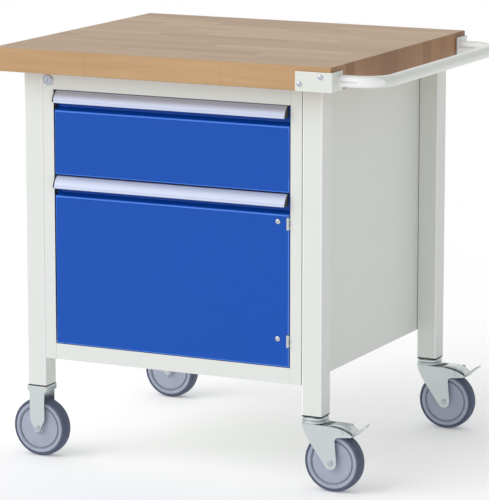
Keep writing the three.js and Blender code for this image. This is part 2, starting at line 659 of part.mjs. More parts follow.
// A flat bar in the cabinet's left front corner, with a slotted head and one tongue for each front.
function lockingBarGeometry() {
  const thickness = [BAR_FRONT, BAR_BACK];
  const shaft = [LOCK_X - BAR_WIDTH / 2, LOCK_X + BAR_WIDTH / 2];
  const head = [LOCK_X - BAR_HEAD.side, LOCK_X + BAR_HEAD.side];
  const tongue = (top) =>
    block([LOCK_X, -OPENING_X + TONGUE_REACH], thickness, [top - TONGUE_HEIGHT, top]);
  const bar = join(
    block(shaft, thickness, [DOOR_TONGUE - TONGUE_HEIGHT, LOCK_Z]),
    block(head, thickness, [LOCK_Z - BAR_HEAD.below, LOCK_Z + BAR_HEAD.above]),
    tongue(DRAWER_TONGUE),
    tongue(DOOR_TONGUE),
  );
  // The bar rises steadily while the pin rises as a sine, so the slot is higher than the pin.
  const slotReach = CAM_PIN_RADIUS + SLOT_PLAY;
  const slotHalf = slotReach + LOCK_THROW * SINE_EXCESS;
  const slot = block(
    [LOCK_X - slotReach, LOCK_X + LOCK_THROW + slotReach],
    [BAR_FRONT - 1, BAR_BACK + 1],
    [LOCK_Z - slotHalf, LOCK_Z + slotHalf],
  );
  return cut(bar, slot);
}

function makeLock() {
  add('lock_housing', lockHousingGeometry(), chrome, bench, [LOCK_X, FRONT_Y, LOCK_Z]);
  add('lock_plug', lockPlugGeometry(), chrome, bench, [LOCK_X, FRONT_Y, LOCK_Z]);
  add('locking_bar', lockingBarGeometry(), zinc);
}

// ---------------------------------------------------------------- push handle

// A centre line that an extrusion follows point by point, so that a straight run is one step.
class CentreLine extends THREE.Curve {
  constructor(points) {
    super();
    this.points = points;
  }

  getUtoTmapping(u) {
    return u;
  }

  getPoint(t) {
    const last = this.points.length - 2;
    const i = Math.min(Math.floor(t * (last + 1)), last);
    return this.points[i].clone().lerp(this.points[i + 1], t * (last + 1) - i);
  }
}

// Hollow tube, bent twice, welded between the two corner brackets.
function handleTubeGeometry() {
  const start = BENCH_WIDTH / 2 + BRACKET_PLATE + 2 * TOUCH;
  const bend = (y, from) => {
    const x = HANDLE_X - HANDLE_BEND;
    const arc = new THREE.EllipseCurve(x, y, HANDLE_BEND, HANDLE_BEND, from, from + Math.PI / 2);
    return arc.getPoints(8).map((p) => new THREE.Vector3(p.x, p.y, 0));
  };
  const path = new CentreLine([
    new THREE.Vector3(start, -HANDLE_Y, 0),
    ...bend(-HANDLE_Y + HANDLE_BEND, -Math.PI / 2),
    ...bend(HANDLE_Y - HANDLE_BEND, 0),
    new THREE.Vector3(start, HANDLE_Y, 0),
  ]);
  const section = new THREE.Shape().absarc(0, 0, HANDLE_TUBE_RADIUS, 0, Math.PI * 2);
  const bore = HANDLE_TUBE_RADIUS - HANDLE_TUBE_WALL;
  section.holes.push(new THREE.Path().absarc(0, 0, bore, 0, Math.PI * 2));
  const steps = path.points.length - 1;
  return new THREE.ExtrudeGeometry(section, { steps, extrudePath: path, curveSegments: 8 });
}

// Angle plate that wraps the worktop's front right corner.
function bracketGeometry() {
  const edgeX = BENCH_WIDTH / 2 + TOUCH;
  const edgeY = -BENCH_DEPTH / 2 - TOUCH;
  const left = BENCH_WIDTH / 2 - BRACKET_LENGTH;
  const back = -BENCH_DEPTH / 2 + BRACKET_RETURN;
  return raise(outline([
    [left, edgeY - BRACKET_PLATE], [edgeX + BRACKET_PLATE, edgeY - BRACKET_PLATE],
    [edgeX + BRACKET_PLATE, back], [edgeX, back], [edgeX, edgeY], [left, edgeY],
  ]), BRACKET_BOTTOM, BRACKET_BOTTOM + BRACKET_HEIGHT);
}

function makePushHandle() {
  add('push_handle_tube', handleTubeGeometry(), greyPaint, bench, [0, 0, HANDLE_Z]);
  add('handle_bracket_front', bracketGeometry(), greyPaint);
  add('handle_bracket_back', bracketGeometry(), greyPaint).scale.y = -1;
}

// ---------------------------------------------------------------- casters

// Each caster is built in its own frame, with the leg's centre line on Z and the floor at z = 0.

function wheelGeometry() {
  const r = WHEEL_RADIUS;
  const tread = TREAD_WIDTH / 2;
  const hub = HUB_WIDTH / 2;
  const bore = AXLE_RADIUS + RUN;
  const half = [
    [bore, hub], [HUB_RADIUS - 1, hub], [HUB_RADIUS, tread - 3], [r - TYRE_DEPTH, tread - 3],
    [r - TYRE_DEPTH + 2, tread], [r - TYRE_SHOULDER + 2, tread - 0.5], [r, tread - TYRE_SHOULDER],
  ];
  const mirrored = half.map(([radius, y]) => [radius, -y]).reverse();
  return turned([...half, ...mirrored, half[0]].reverse(), 32);
}

function axleGeometry() {
  const neck = FORK_OUTER + TOUCH;
  const end = neck + AXLE_HEAD;
  return turned([
    [0, -end], [AXLE_HEAD_RADIUS, -end], [AXLE_HEAD_RADIUS, -neck], [AXLE_RADIUS, -neck],
    [AXLE_RADIUS, neck], [AXLE_HEAD_RADIUS, neck], [AXLE_HEAD_RADIUS, end], [0, end],
  ], 12);
}

const axleHole = (x) =>
  rodY(AXLE_RADIUS + RUN, -FORK_OUTER - 5, FORK_OUTER + 5).translate(x, 0, WHEEL_RADIUS);

// Bent strap over the wheel: broad shoulders under the leg, straight sides, tapered ends.
function fixedForkGeometry() {
  const top = CASTER_TOP;
  const shoulder = LEG_SIZE / 2;
  const side = FIXED_FORK_WIDTH / 2;
  const shoulderBottom = top - FIXED_SHOULDER;
  const taperTop = WHEEL_RADIUS + FIXED_TAPER;
  const eye = AXLE_HEAD_RADIUS + 2;
  const shape = new THREE.Shape();
  shape.moveTo(-eye, WHEEL_RADIUS);
  shape.absarc(0, WHEEL_RADIUS, eye, Math.PI, Math.PI * 2, false);
  shape.lineTo(side, taperTop);
  shape.lineTo(side, shoulderBottom - 5);
  shape.lineTo(shoulder, shoulderBottom);
  shape.lineTo(shoulder, top);
  shape.lineTo(-shoulder, top);
  shape.lineTo(-shoulder, shoulderBottom);
  shape.lineTo(-side, shoulderBottom - 5);
  shape.lineTo(-side, taperTop);
  const strap = cut(
    stretchY(shape, -FORK_OUTER, FORK_OUTER),
    block([-LEG_SIZE, LEG_SIZE], [-FORK_INNER, FORK_INNER], [0, top - FORK_WALL]),
    axleHole(0),
  );
  return join(strap, rodZ(STEM_RADIUS, top - 1, top + STEM_LENGTH));
}

// The part of a swivel caster that stays with the leg: stem, two-step ball race and kingpin.
function swivelMountGeometry() {
  const step = CASTER_TOP - RACE_HEIGHT / 2;
  const bottom = CASTER_TOP - RACE_HEIGHT;
  const forkBelow = bottom - TOUCH - FORK_WALL - TOUCH;
  const headBelow = forkBelow - KINGPIN_HEAD.height;
  const upper = RACE_RADIUS - RACE_STEP;
  const stemTop = CASTER_TOP + STEM_LENGTH;
  return upright(turned([
    [0, headBelow], [KINGPIN_HEAD.radius, headBelow], [KINGPIN_HEAD.radius, forkBelow],
    [KINGPIN_RADIUS, forkBelow], [KINGPIN_RADIUS, bottom], [RACE_RADIUS - 2, bottom],
    [RACE_RADIUS, bottom + 1.5], [RACE_RADIUS, step - 1], [upper, step], [upper, CASTER_TOP],
    [STEM_RADIUS, CASTER_TOP], [STEM_RADIUS, stemTop], [0, stemTop],
  ], 24));
}

// Plan of the fork's wall: an oval nose under the race, straight alongside the wheel.
function forkPlan(halfWidth, nose, length) {
  const plan = new THREE.Shape();
  plan.moveTo(length, -halfWidth);
  plan.lineTo(length, halfWidth);
  plan.lineTo(0, halfWidth);
  plan.absellipse(0, 0, nose, halfWidth, Math.PI / 2, Math.PI * 1.5, false, 0);
  return plan;
}

function swivelForkGeometry() {
  const top = CASTER_TOP - RACE_HEIGHT - TOUCH;
  const armTip = top - FORK_ARM_DROP;
  const eyeAngle = THREE.MathUtils.degToRad(215);
  const rightX = SWIVEL_TRAIL + FORK_EYE_RADIUS - 1;
  const armBottom = top - FORK_ARM_HEIGHT;

  const side = new THREE.Shape();
  side.moveTo(-FORK_NOSE - 1, top - 4);
  side.absarc(SWIVEL_TRAIL, WHEEL_RADIUS, FORK_EYE_RADIUS, eyeAngle, Math.PI * 2, false);
  side.lineTo(rightX - 3, armBottom - 8);
  side.quadraticCurveTo(rightX - 3, armBottom, rightX + 6, armBottom + 1);
  side.lineTo(FORK_ARM_END, armTip - 3);
  side.lineTo(FORK_ARM_END + 2, armTip);
  side.quadraticCurveTo(PEDAL_PIVOT.x, top, FORK_OUTER, top);
  side.lineTo(-FORK_NOSE - 1, top);

  const shell = cut(
    raise(forkPlan(FORK_OUTER, FORK_NOSE, FORK_ARM_END + 5), 0, top, 8),
    raise(forkPlan(FORK_INNER, FORK_NOSE - FORK_WALL, FORK_ARM_END + 6), -1, top - FORK_WALL, 8),
    block([FORK_OUTER + 2, FORK_ARM_END + 10], [-FORK_INNER, FORK_INNER], [0, top + 1]),
  );
  return cut(
    common(shell, stretchY(side, -FORK_OUTER - 1, FORK_OUTER + 1, 6)),
    axleHole(SWIVEL_TRAIL),
    rodZ(KINGPIN_RADIUS + RUN, top - 10, top + 1),
    rodY(PEDAL_PIN_RADIUS + RUN, -FORK_OUTER - 1, FORK_OUTER + 1, 12)
      .translate(PEDAL_PIVOT.x, 0, PEDAL_PIVOT.z),
  );
}

// Brake pedal: a cover between the fork's arms, its cross pin, and a paddle that rises past them.
function pedalGeometry() {
  const top = CASTER_TOP - PEDAL_DROP;
  const low = PEDAL_PIVOT.z;
  const root = FORK_ARM_END;
  const start = RACE_RADIUS + 2.5;
  const cover = outline([
    [start, low + 8], [start, low + 4], [start + 18, low + 1],
    [PEDAL_PIVOT.x, low - PEDAL_PIN_RADIUS - 1], [root - 2, low - 9], [root + 3, low - 5],
    [root - 5, low + 6], [PEDAL_PIVOT.x - 2, top], [start + 14, top],
  ]);
  const paddle = outline([
    [root - 2, low - 9], [root + 5, low - 6], [PEDAL_REACH - 8, top - 4], [PEDAL_REACH, top - 1],
    [PEDAL_REACH, top + 2], [PEDAL_REACH - 9, top - 1], [root + 3, low - 2],
  ]);
  const paddleHalf = PEDAL_WIDTH / 2 - PADDLE_INSET;
  return join(
    stretchY(cover, -PEDAL_WIDTH / 2, PEDAL_WIDTH / 2),
    stretchY(paddle, -paddleHalf, paddleHalf),
    rodY(PEDAL_PIN_RADIUS, -FORK_OUTER - 1, FORK_OUTER + 1, 12)
      .translate(PEDAL_PIVOT.x, 0, PEDAL_PIVOT.z),
  );
}

function makeCasters() {
  for (const [end, y] of ENDS) {
    const fixed = new THREE.Group();
    fixed.position.set(-LEG_X, y, 0);
    bench.add(fixed);
    const hubCentre = [0, 0, WHEEL_RADIUS];
    add(`fixed_fork_${end}_left`, fixedForkGeometry(), zinc, fixed);
    add(`wheel_${end}_left`, wheelGeometry(), wheelGrey, fixed, hubCentre);
    add(`axle_${end}_left`, axleGeometry(), chrome, fixed, hubCentre);

    const swivel = new THREE.Group();
    swivel.position.set(LEG_X, y, 0);
    bench.add(swivel);
    const trailCentre = [SWIVEL_TRAIL, 0, WHEEL_RADIUS];
    add(`swivel_mount_${end}_right`, swivelMountGeometry(), zinc, swivel);
    add(`swivel_fork_${end}_right`, swivelForkGeometry(), zinc, swivel);
    add(`wheel_${end}_right`, wheelGeometry(), wheelGrey, swivel, trailCentre);
    add(`axle_${end}_right`, axleGeometry(), chrome, swivel, trailCentre);
    add(`brake_pedal_${end}_right`, pedalGeometry(), zinc, swivel);
  }
}

// ---------------------------------------------------------------- assembly

makeWorktop();
makeLegs();
makeCabinet();
makeDrawer();
makeDoor();
makeLock();
makePushHandle();
makeCasters();
bench.position.x = -ORIGIN_X;

export default bench;
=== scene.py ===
# A mobile workbench: beech top, four square legs on casters, a steel cabinet with one drawer over one
# door, and a tubular push handle on the right. The sections follow the bench as it is put together.

import math

import bmesh
import bpy
from mathutils import Matrix, Vector


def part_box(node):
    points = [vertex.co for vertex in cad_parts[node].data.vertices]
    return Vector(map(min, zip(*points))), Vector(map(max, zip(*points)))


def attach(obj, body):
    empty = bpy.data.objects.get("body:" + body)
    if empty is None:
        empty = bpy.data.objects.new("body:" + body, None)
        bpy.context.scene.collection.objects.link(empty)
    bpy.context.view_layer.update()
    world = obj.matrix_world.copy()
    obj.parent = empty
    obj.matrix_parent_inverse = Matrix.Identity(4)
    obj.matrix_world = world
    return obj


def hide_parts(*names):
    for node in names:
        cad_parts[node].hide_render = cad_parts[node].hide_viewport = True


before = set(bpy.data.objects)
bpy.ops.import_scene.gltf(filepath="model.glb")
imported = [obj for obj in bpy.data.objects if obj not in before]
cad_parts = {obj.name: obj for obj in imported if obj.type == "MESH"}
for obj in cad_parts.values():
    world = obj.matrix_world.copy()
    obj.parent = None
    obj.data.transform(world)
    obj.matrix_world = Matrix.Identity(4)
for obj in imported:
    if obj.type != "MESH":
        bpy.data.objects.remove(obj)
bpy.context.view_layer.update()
MM = 0.001


# ---- Worktop --------------------------------------------------------------------------------------
# A solid board of beech lamellae glued side by side, each made of short staves end to end, sanded and
# oiled. It lies on the legs and the cabinet, screwed from below, and both ends show end grain.


class Wire:
    """A socket's value. Using it in an expression adds the Math nodes that work the result out."""

    def __init__(self, finish, socket):
        self.finish = finish
        self.socket = socket

    def math(self, operation, *others):
        values = dict(enumerate((self, *others)))
        return self.finish.node("ShaderNodeMath", {"operation": operation}, values)

    def __add__(self, other):
        return self.math("ADD", other)

    def __sub__(self, other):
        return self.math("SUBTRACT", other)

    def __rsub__(self, other):
        return self.math("MULTIPLY", -1) + other

    def __mul__(self, other):
        return self.math("MULTIPLY", other)

    def __truediv__(self, other):
        return self.math("DIVIDE", other)

    def __pow__(self, other):
        return self.math("POWER", other)

    def __gt__(self, other):
        return self.math("GREATER_THAN", other)

    def __lt__(self, other):
        return self.math("LESS_THAN", other)

    def __abs__(self):
        return self.math("ABSOLUTE")

    __radd__ = __add__
    __rmul__ = __mul__


class Finish:
    """A material or a world being made: its nodes, and the shader that they feed."""

    def __init__(self, name, owners=bpy.data.materials, shader="Principled BSDF", **uniform):
        self.material = owners.new(name)
        self.material.use_nodes = True
        self.tree = self.material.node_tree
        self.shader = self.tree.nodes[shader]
        self.place = self.node("ShaderNodeTexCoord", output="Object")
        self.set(**uniform)

    def node(self, kind, settings=None, sockets=None, output=0):
        made = self.tree.nodes.new(kind)
        for key, value in (settings or {}).items():
            if key == "stops":
                self.set_stops(made.color_ramp, value)
            else:
                setattr(made, key, value)
        for key, value in (sockets or {}).items():
            self.plug(self.find(made.inputs, key), value)
        return Wire(self, self.find(made.outputs, output))

    @staticmethod
    def find(sockets, key):
        if isinstance(key, int):
            return sockets[key]
        return next(s for s in sockets if key in (s.identifier, s.name))

    def plug(self, socket, value):
        if isinstance(value, Wire):
            self.tree.links.new(value.socket, socket)
        else:
            socket.default_value = value

    @staticmethod
    def set_stops(ramp, stops):
        while len(ramp.elements) < len(stops):
            ramp.elements.new(1)
        for element, (position, colour) in zip(ramp.elements, stops):
            element.position = position
            element.color = colour

    def set(self, **inputs):
        sockets = {s.name.lower().replace(" ", "_"): s for s in self.shader.inputs}
        for key, value in inputs.items():
            self.plug(sockets[key], value)

    def axes(self):
        split = self.node("ShaderNodeSeparateXYZ", sockets={0: self.place})
        outputs = split.socket.node.outputs
        return [Wire(self, socket) for socket in outputs]

    def stretched(self, x, y, z):
        settings = {"operation": "MULTIPLY"}
        return self.node("ShaderNodeVectorMath", settings, {0: self.place, 1: (x, y, z)})

    def noise(self, place, scale, detail=3.0, roughness=0.5):
        sockets = {"Vector": place, "Scale": scale, "Detail": detail, "Roughness": roughness}
        return self.node("ShaderNodeTexNoise", sockets=sockets)

    def blend(self, factor, first, second, mode="MIX"):
        settings = {"data_type": "RGBA", "blend_type": mode}
        sockets = {"Factor_Float": factor, "A_Color": first, "B_Color": second}
        return self.node("ShaderNodeMix", settings, sockets, "Result_Color")

    def ramp(self, factor, *stops):
        return self.node("ShaderNodeValToRGB", {"stops": stops}, {"Fac": factor})

    def facing(self):
        """The direction that the surface faces, as its three shares."""
        normal = self.node("ShaderNodeTexCoord", output="Normal")
        split = self.node("ShaderNodeSeparateXYZ", sockets={0: normal})
        return [Wire(self, socket) for socket in split.socket.node.outputs]

    def emboss(self, height, depth):
        sockets = {"Height": height, "Distance": depth, "Strength": 1.0}
        self.set(normal=self.node("ShaderNodeBump", sockets=sockets))


def colour(red, green, blue):
    """An opaque linear colour from display values of 0 to 255."""
    linear = [
        c / 12.92 if c <= 0.04045 else ((c + 0.055) / 1.055) ** 2.4
        for c in (red / 255, green / 255, blue / 255)
    ]
    return (*linear, 1.0)


def soft_edges_group():
    """Welds a frame node's triangles together and shades them smooth, except over sharp edges."""
    group = bpy.data.node_groups.new("soft_edges", "GeometryNodeTree")
    group.interface.new_socket("Geometry", in_out="INPUT", socket_type="NodeSocketGeometry")
    group.interface.new_socket("Geometry", in_out="OUTPUT", socket_type="NodeSocketGeometry")
    new = group.nodes.new
    weld = new("GeometryNodeMergeByDistance")
    weld.inputs["Distance"].default_value = 0.002 * MM
    faces = new("GeometryNodeSetShadeSmooth")
    edges = new("GeometryNodeSetShadeSmooth")
    edges.domain = "EDGE"
    edges.inputs["Shade Smooth"].default_value = False
    angle = new("GeometryNodeInputMeshEdgeAngle")
    sharp = new("FunctionNodeCompare")
    sharp.inputs["B"].default_value = CREASE
    chain = [new("NodeGroupInput"), weld, faces, edges, new("NodeGroupOutput")]
    for before, after in zip(chain, chain[1:]):
        group.links.new(before.outputs[0], after.inputs[0])
    group.links.new(angle.outputs["Unsigned Angle"], sharp.inputs["A"])
    group.links.new(sharp.outputs[0], edges.inputs["Selection"])
    return group


CREASE = math.radians(46)
soft_edges = soft_edges_group()


def round_edges(piece, width, segments=2):
    bevel = piece.modifiers.new("rounded_edges", "BEVEL")
    bevel.width = width
    bevel.segments = segments
    bevel.limit_method = "ANGLE"
    bevel.angle_limit = CREASE


def round_folds(piece, low, high, radius):
    """Rounds the folds round the front face of a sheet, which is wider than the sheet is thick."""
    at_front = [
        v.index for v in piece.data.vertices
        if abs(v.co.y - low.y) < FOLD_REACH and min(v.co.x - low.x, high.x - v.co.x) < FOLD_REACH
    ]
    piece.vertex_groups.new(name="folds").add(at_front, 1.0, "REPLACE")
    bevel = piece.modifiers.new("rounded_folds", "BEVEL")
    bevel.width = radius
    bevel.segments = 5
    bevel.limit_method = "VGROUP"
    bevel.vertex_group = "folds"


FOLD_REACH = 0.02 * MM


def dress(node, material, edge=0.6 * MM, segments=2, folds=0.0):
    """Gives a frame node its finish and the small radius that its edges really have."""
    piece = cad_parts[node]
    piece.data.materials.clear()
    piece.data.materials.append(material)
    flat_normals = piece.data.attributes.get("custom_normal")
    if flat_normals:
        piece.data.attributes.remove(flat_normals)
    piece.modifiers.new("soft_edges", "NODES").node_group = soft_edges
    flats = piece.modifiers.new("whole_faces", "DECIMATE")
    flats.decimate_type = "DISSOLVE"
    flats.angle_limit = math.radians(0.2)
    if folds:
        round_folds(piece, *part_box(node), folds)
    if edge:
        round_edges(piece, edge, segments)
    normals = piece.modifiers.new("face_normals", "WEIGHTED_NORMAL")
    normals.keep_sharp = True


LAMELLA = 43.75 * MM
LAMELLA_SHIFT = 0.37  # share of the front lamella that is sawn off at the edge
STAVE = 310 * MM
FRONT_LAMELLA = -8  # the front one is picked for its pale, even staves
FRONT_TONE = 0.72


def beech_finish():
    wood = Finish("oiled_beech", coat_roughness=0.3, coat_weight=0.12)
    x, y, z = wood.axes()
    across = y / LAMELLA + LAMELLA_SHIFT
    lamella = across.math("FLOOR")
    start = wood.node("ShaderNodeTexWhiteNoise", {"noise_dimensions": "1D"}, {"W": lamella})
    along = x / STAVE + start * 3
    stave = along.math("FLOOR")
    glue = (abs(across - lamella - 0.5) > 0.492).math("MAXIMUM", abs(along - stave - 0.5) > 0.4985)
    cell = wood.node("ShaderNodeCombineXYZ", sockets={0: lamella, 1: stave})
    tone = wood.node("ShaderNodeTexWhiteNoise", {"noise_dimensions": "2D"}, {"Vector": cell})
    tone = tone.math("MAXIMUM", (lamella < FRONT_LAMELLA + 0.5) * FRONT_TONE)
    shifted = wood.node("ShaderNodeCombineXYZ", sockets={0: x * 5 + tone * 31, 1: y * 85, 2: z * 85})
    figure = wood.noise(shifted, 1.0, 5.0, 0.62)
    flecks = wood.noise(wood.stretched(210, 2100, 900), 1.0, 1.0) > 0.66
    pores = wood.noise(wood.stretched(60, 3200, 3200), 1.0, 2.0)
    board = wood.ramp(
        figure * 0.5 + tone * 0.55,
        (0.2, colour(157, 116, 73)),
        (0.5, colour(177, 138, 93)),
        (0.85, colour(197, 163, 119)),
    )
    board = wood.blend(flecks * 0.24, board, colour(142, 94, 58))
    board = wood.blend(pores * 0.16, board, colour(160, 112, 72))

    # The growth rings at the ends of each lamella, round a pith of its own below or above the board.
    pith_y = y - (lamella + 0.5) * LAMELLA + (tone - 0.5) * 0.09
    pith_z = z - 0.80 - tone * 0.03
    radius = (pith_y * pith_y + pith_z * pith_z) ** 0.5
    rings = (radius * 1150 + figure * 5).math("SINE") * 0.5 + 0.5
    ends = wood.ramp(
        rings * 0.35 + pores * 0.25 + tone * 0.6,
        (0.25, colour(120, 84, 54)),
        (0.6, colour(146, 106, 71)),
        (0.95, colour(171, 130, 91)),
    )
    sideways, _, upwards = wood.facing()
    end_face = abs(sideways) > 0.7
    both = wood.blend(end_face, board, ends)
    # Painted shade: the top is blended 30 % towards a greyer brown to tone down the light it takes
    # from above, so the edges keep the oil's warmer tone.
    both = wood.blend((upwards > 0.7) * 0.3, both, colour(158, 141, 117))
    wood.set(
        base_color=wood.blend(glue * 0.4, both, colour(120, 80, 48)),
        roughness=0.46 + pores * 0.14 + end_face * 0.12,
    )
    wood.emboss(figure * 0.5 + pores * 0.5 - glue * 0.8 - flecks * 0.3, 0.12 * MM)
    return wood.material


dress("worktop", beech_finish(), 2.2 * MM, 4)


# ---- Legs -----------------------------------------------------------------------------------------
# Square steel tube, powder-coated light grey. A black plastic plug closes the foot of each tube and
# takes the stem of its caster.


def powder_coat(name, tint, roughness, shine=0.5):
    """Baked powder paint: a fine orange-peel skin, cloudy in tone, rubbed, with a painted highlight
    over the folds.
    """
    coat = Finish(name, specular_ior_level=shine)
    peel = coat.noise(coat.place, 620.0, 2.0)
    grit = coat.noise(coat.place, 2600.0, 1.0)
    cloud = coat.noise(coat.place, 5.5, 4.0, 0.55)
    rubs = coat.noise(coat.stretched(9, 9, 46), 1.0, 5.0, 0.7)
    deep = tuple(c * 0.93 for c in tint[:3]) + (1.0,)
    # A paler copy of the tint, painted on the rounded folds and corners as a highlight line.
    bend_highlight_tint = tuple(min(c * 2.2 + 0.08, 0.86) for c in tint[:3]) + (1.0,)
    body = coat.blend(cloud * 0.55 + grit * 0.35, tint, deep)
    # Painted highlight mask: surfaces turned partly, but not wholly, towards the front, which is where
    # the folds lie.
    forwards = abs(coat.facing()[1])
    painted_highlight_bends = (forwards > 0.55) * (forwards < 0.985)
    coat.set(
        base_color=coat.blend(painted_highlight_bends, body, bend_highlight_tint),
        roughness=roughness - 0.05 + peel * 0.06 + rubs * 0.07,
    )
    coat.emboss(peel * 0.8 + grit * 0.2, 0.035 * MM)
    return coat.material


def moulded_plastic(name, tint, roughness):
    """Injection-moulded plastic with a fine spark-eroded texture."""
    plastic = Finish(name)
    texture = plastic.noise(plastic.place, 1700.0, 2.0)
    handling = plastic.noise(plastic.place, 60.0, 3.0)
    worn = tuple(c * 1.5 + 0.004 for c in tint[:3]) + (1.0,)
    plastic.set(
        base_color=plastic.blend(handling * 0.5, tint, worn),
        roughness=roughness + texture * 0.12 - handling * 0.05,
    )
    plastic.emboss(texture, 0.03 * MM)
    return plastic.material


light_grey = powder_coat("light_grey_powder_coat", colour(221, 224, 219), 0.42)
black_plastic = moulded_plastic("black_plastic", colour(44, 47, 45), 0.5)
ENDS = ("front", "back")
SIDES = ("left", "right")

for end in ENDS:
    for side in SIDES:
        dress(f"leg_{end}_{side}", light_grey, 0)
        dress(f"leg_plug_{end}_{side}", black_plastic, 0.4 * MM)


# ---- Cabinet --------------------------------------------------------------------------------------
# Folded sheet steel, spot-welded and powder-coated. The back is riveted to the flanges of the two
# sides, the floor and the divider are welded in, and screws through the sides hold it to the legs.


def placed(at, direction=(0, 0, 1)):
    """A matrix that puts a piece made along +Z at a place, facing a direction."""
    turn = Vector(direction).to_track_quat("Z", "Y").to_matrix().to_4x4()
    return Matrix.Translation(Vector(at)) @ turn


def rounded(points, radius, closed=False, steps=4):
    """An outline whose corners are turned into curves, limited by the lengths of their edges."""
    points = [Vector(p) for p in points]
    count = len(points)
    smooth = []
    for i, corner in enumerate(points):
        if not closed and i in (0, count - 1):
            smooth.append(corner)
            continue
        before = points[i - 1] - corner
        after = points[(i + 1) % count] - corner
        bend = before.angle(after) / 2
        reach = radius / max(math.tan(bend), 0.05)
        start = corner + before.normalized() * min(reach, before.length * 0.48)
        end = corner + after.normalized() * min(reach, after.length * 0.48)
        for step in range(steps + 1):
            t = step / steps
            smooth.append(start * (1 - t) ** 2 + corner * 2 * t * (1 - t) + end * t * t)
    return smooth


def finished(name, mesh, place, material, body, crease=CREASE):
    """Makes a piece from a bmesh, dresses it, and hangs it on its body."""
    bmesh.ops.recalc_face_normals(mesh, faces=mesh.faces)
    mesh.transform(place)
    data = bpy.data.meshes.new(name)
    mesh.to_mesh(data)
    mesh.free()
    data.shade_smooth()
    data.set_sharp_from_angle(angle=crease)
    data.materials.append(material)
    piece = bpy.data.objects.new(name, data)
    bpy.context.scene.collection.objects.link(piece)
    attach(piece, body)
    return piece


def turned(profile, segments=48, closed=False):
    """A turned form about Z, from (radius, height) pairs that start and end on the axis or close."""
    mesh = bmesh.new()
    rings = []
    for radius, height in profile:
        corners = segments if radius > 1e-7 else 1
        angles = [math.tau * i / corners for i in range(corners)]
        rings.append([
            mesh.verts.new((radius * math.cos(a), radius * math.sin(a), height)) for a in angles
        ])
    pairs = list(zip(rings, rings[1:]))
    if closed:
        pairs.append((rings[-1], rings[0]))
    for low, high in pairs:
        for i in range(segments):
            j = i + 1
            corners = [
                low[i % len(low)], low[j % len(low)], high[j % len(high)], high[i % len(high)]
            ]
            mesh.faces.new(list(dict.fromkeys(corners)))
    return mesh


def plate(outline, thickness):
    """A flat outline in X and Y, raised along Z."""
    mesh = bmesh.new()
    face = mesh.faces.new([mesh.verts.new((p[0], p[1], 0)) for p in outline])
    raised = bmesh.ops.extrude_face_region(mesh, geom=[face])["geom"]
    top = [v for v in raised if isinstance(v, bmesh.types.BMVert)]
    bmesh.ops.translate(mesh, verts=top, vec=(0, 0, thickness))
    return mesh


def zinc_plate(name, tint, roughness):
    """Bright zinc plating: a cool metal with cloudy patches and faint drawing lines."""
    zinc = Finish(name, metallic=1.0)
    cloud = zinc.noise(zinc.place, 90.0, 4.0, 0.6)
    lines = zinc.noise(zinc.stretched(900, 900, 60), 1.0, 2.0)
    deep = tuple(c * 0.9 for c in tint[:3]) + (1.0,)
    zinc.set(
        base_color=zinc.blend(cloud * 0.8 + lines * 0.2, tint, deep),
        roughness=roughness - 0.03 + cloud * 0.08 + lines * 0.04,
    )
    zinc.emboss(lines * 0.5 + cloud * 0.5, 0.004 * MM)
    return zinc.material


zinc = zinc_plate("bright_zinc", colour(208, 214, 214), 0.31)

for panel in (
    "side_panel_left", "side_panel_right", "back_panel", "front_rail_top", "front_rail_bottom",
    "floor_panel", "divider_panel",
):
    dress(panel, light_grey, 0.5 * MM)
dress("door_catch", black_plastic, 0.8 * MM)

RIVET_RADIUS = 3.2 * MM
RIVET_DOME = [(3.2, 0), (3.1, 0.5), (2.6, 1.0), (1.5, 1.35), (0, 1.45)]
RIVETS = 6
RIVET_MARGIN = 45 * MM  # panel's ends to the first and the last rivet


def rivet(name, place):
    dome = [(0, -0.4 * MM), (RIVET_RADIUS, -0.4 * MM)]
    dome += [(r * MM, h * MM) for r, h in RIVET_DOME]
    finished(name, turned(dome, 20), place, light_grey, "frame")


for side in SIDES:
    low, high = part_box(f"side_panel_{side}")
    rivet_x = (low.x + high.x) / 2
    for i in range(RIVETS):
        rivet_z = low.z + RIVET_MARGIN + i * (high.z - low.z - 2 * RIVET_MARGIN) / (RIVETS - 1)
        rivet(f"back_rivet_{side}_{i}", placed((rivet_x, high.y, rivet_z), (0, 1, 0)))


# ---- Drawer ---------------------------------------------------------------------------------------
# A folded tray behind a blue powder-coated front. The front's upper edge steps back to make room for
# fingers behind an extruded aluminium strip, which two black end caps close. Telescopic steel slides,
# each of three members, carry the tray.

FOLD_RADIUS = 2.4 * MM
blue = powder_coat("blue_powder_coat", colour(0, 77, 176), 0.44, 0.25)


def brushed_aluminium():
    """Extruded strip, brushed along its length and anodised."""
    metal = Finish("anodised_aluminium", metallic=0.8)
    hair = metal.noise(metal.stretched(12, 2600, 2600), 1.0, 3.0, 0.6)
    bands = metal.noise(metal.stretched(1.5, 160, 160), 1.0, 2.0)
    metal.set(
        base_color=metal.blend(hair, colour(199, 206, 224), colour(184, 191, 211)),
        roughness=0.46 + hair * 0.14 + bands * 0.06,
    )
    metal.emboss(hair, 0.02 * MM)
    return metal.material


aluminium = brushed_aluminium()
STRIP_WALL = 2.0 * MM
STRIP_TURN = (math.radians(125), math.radians(168))


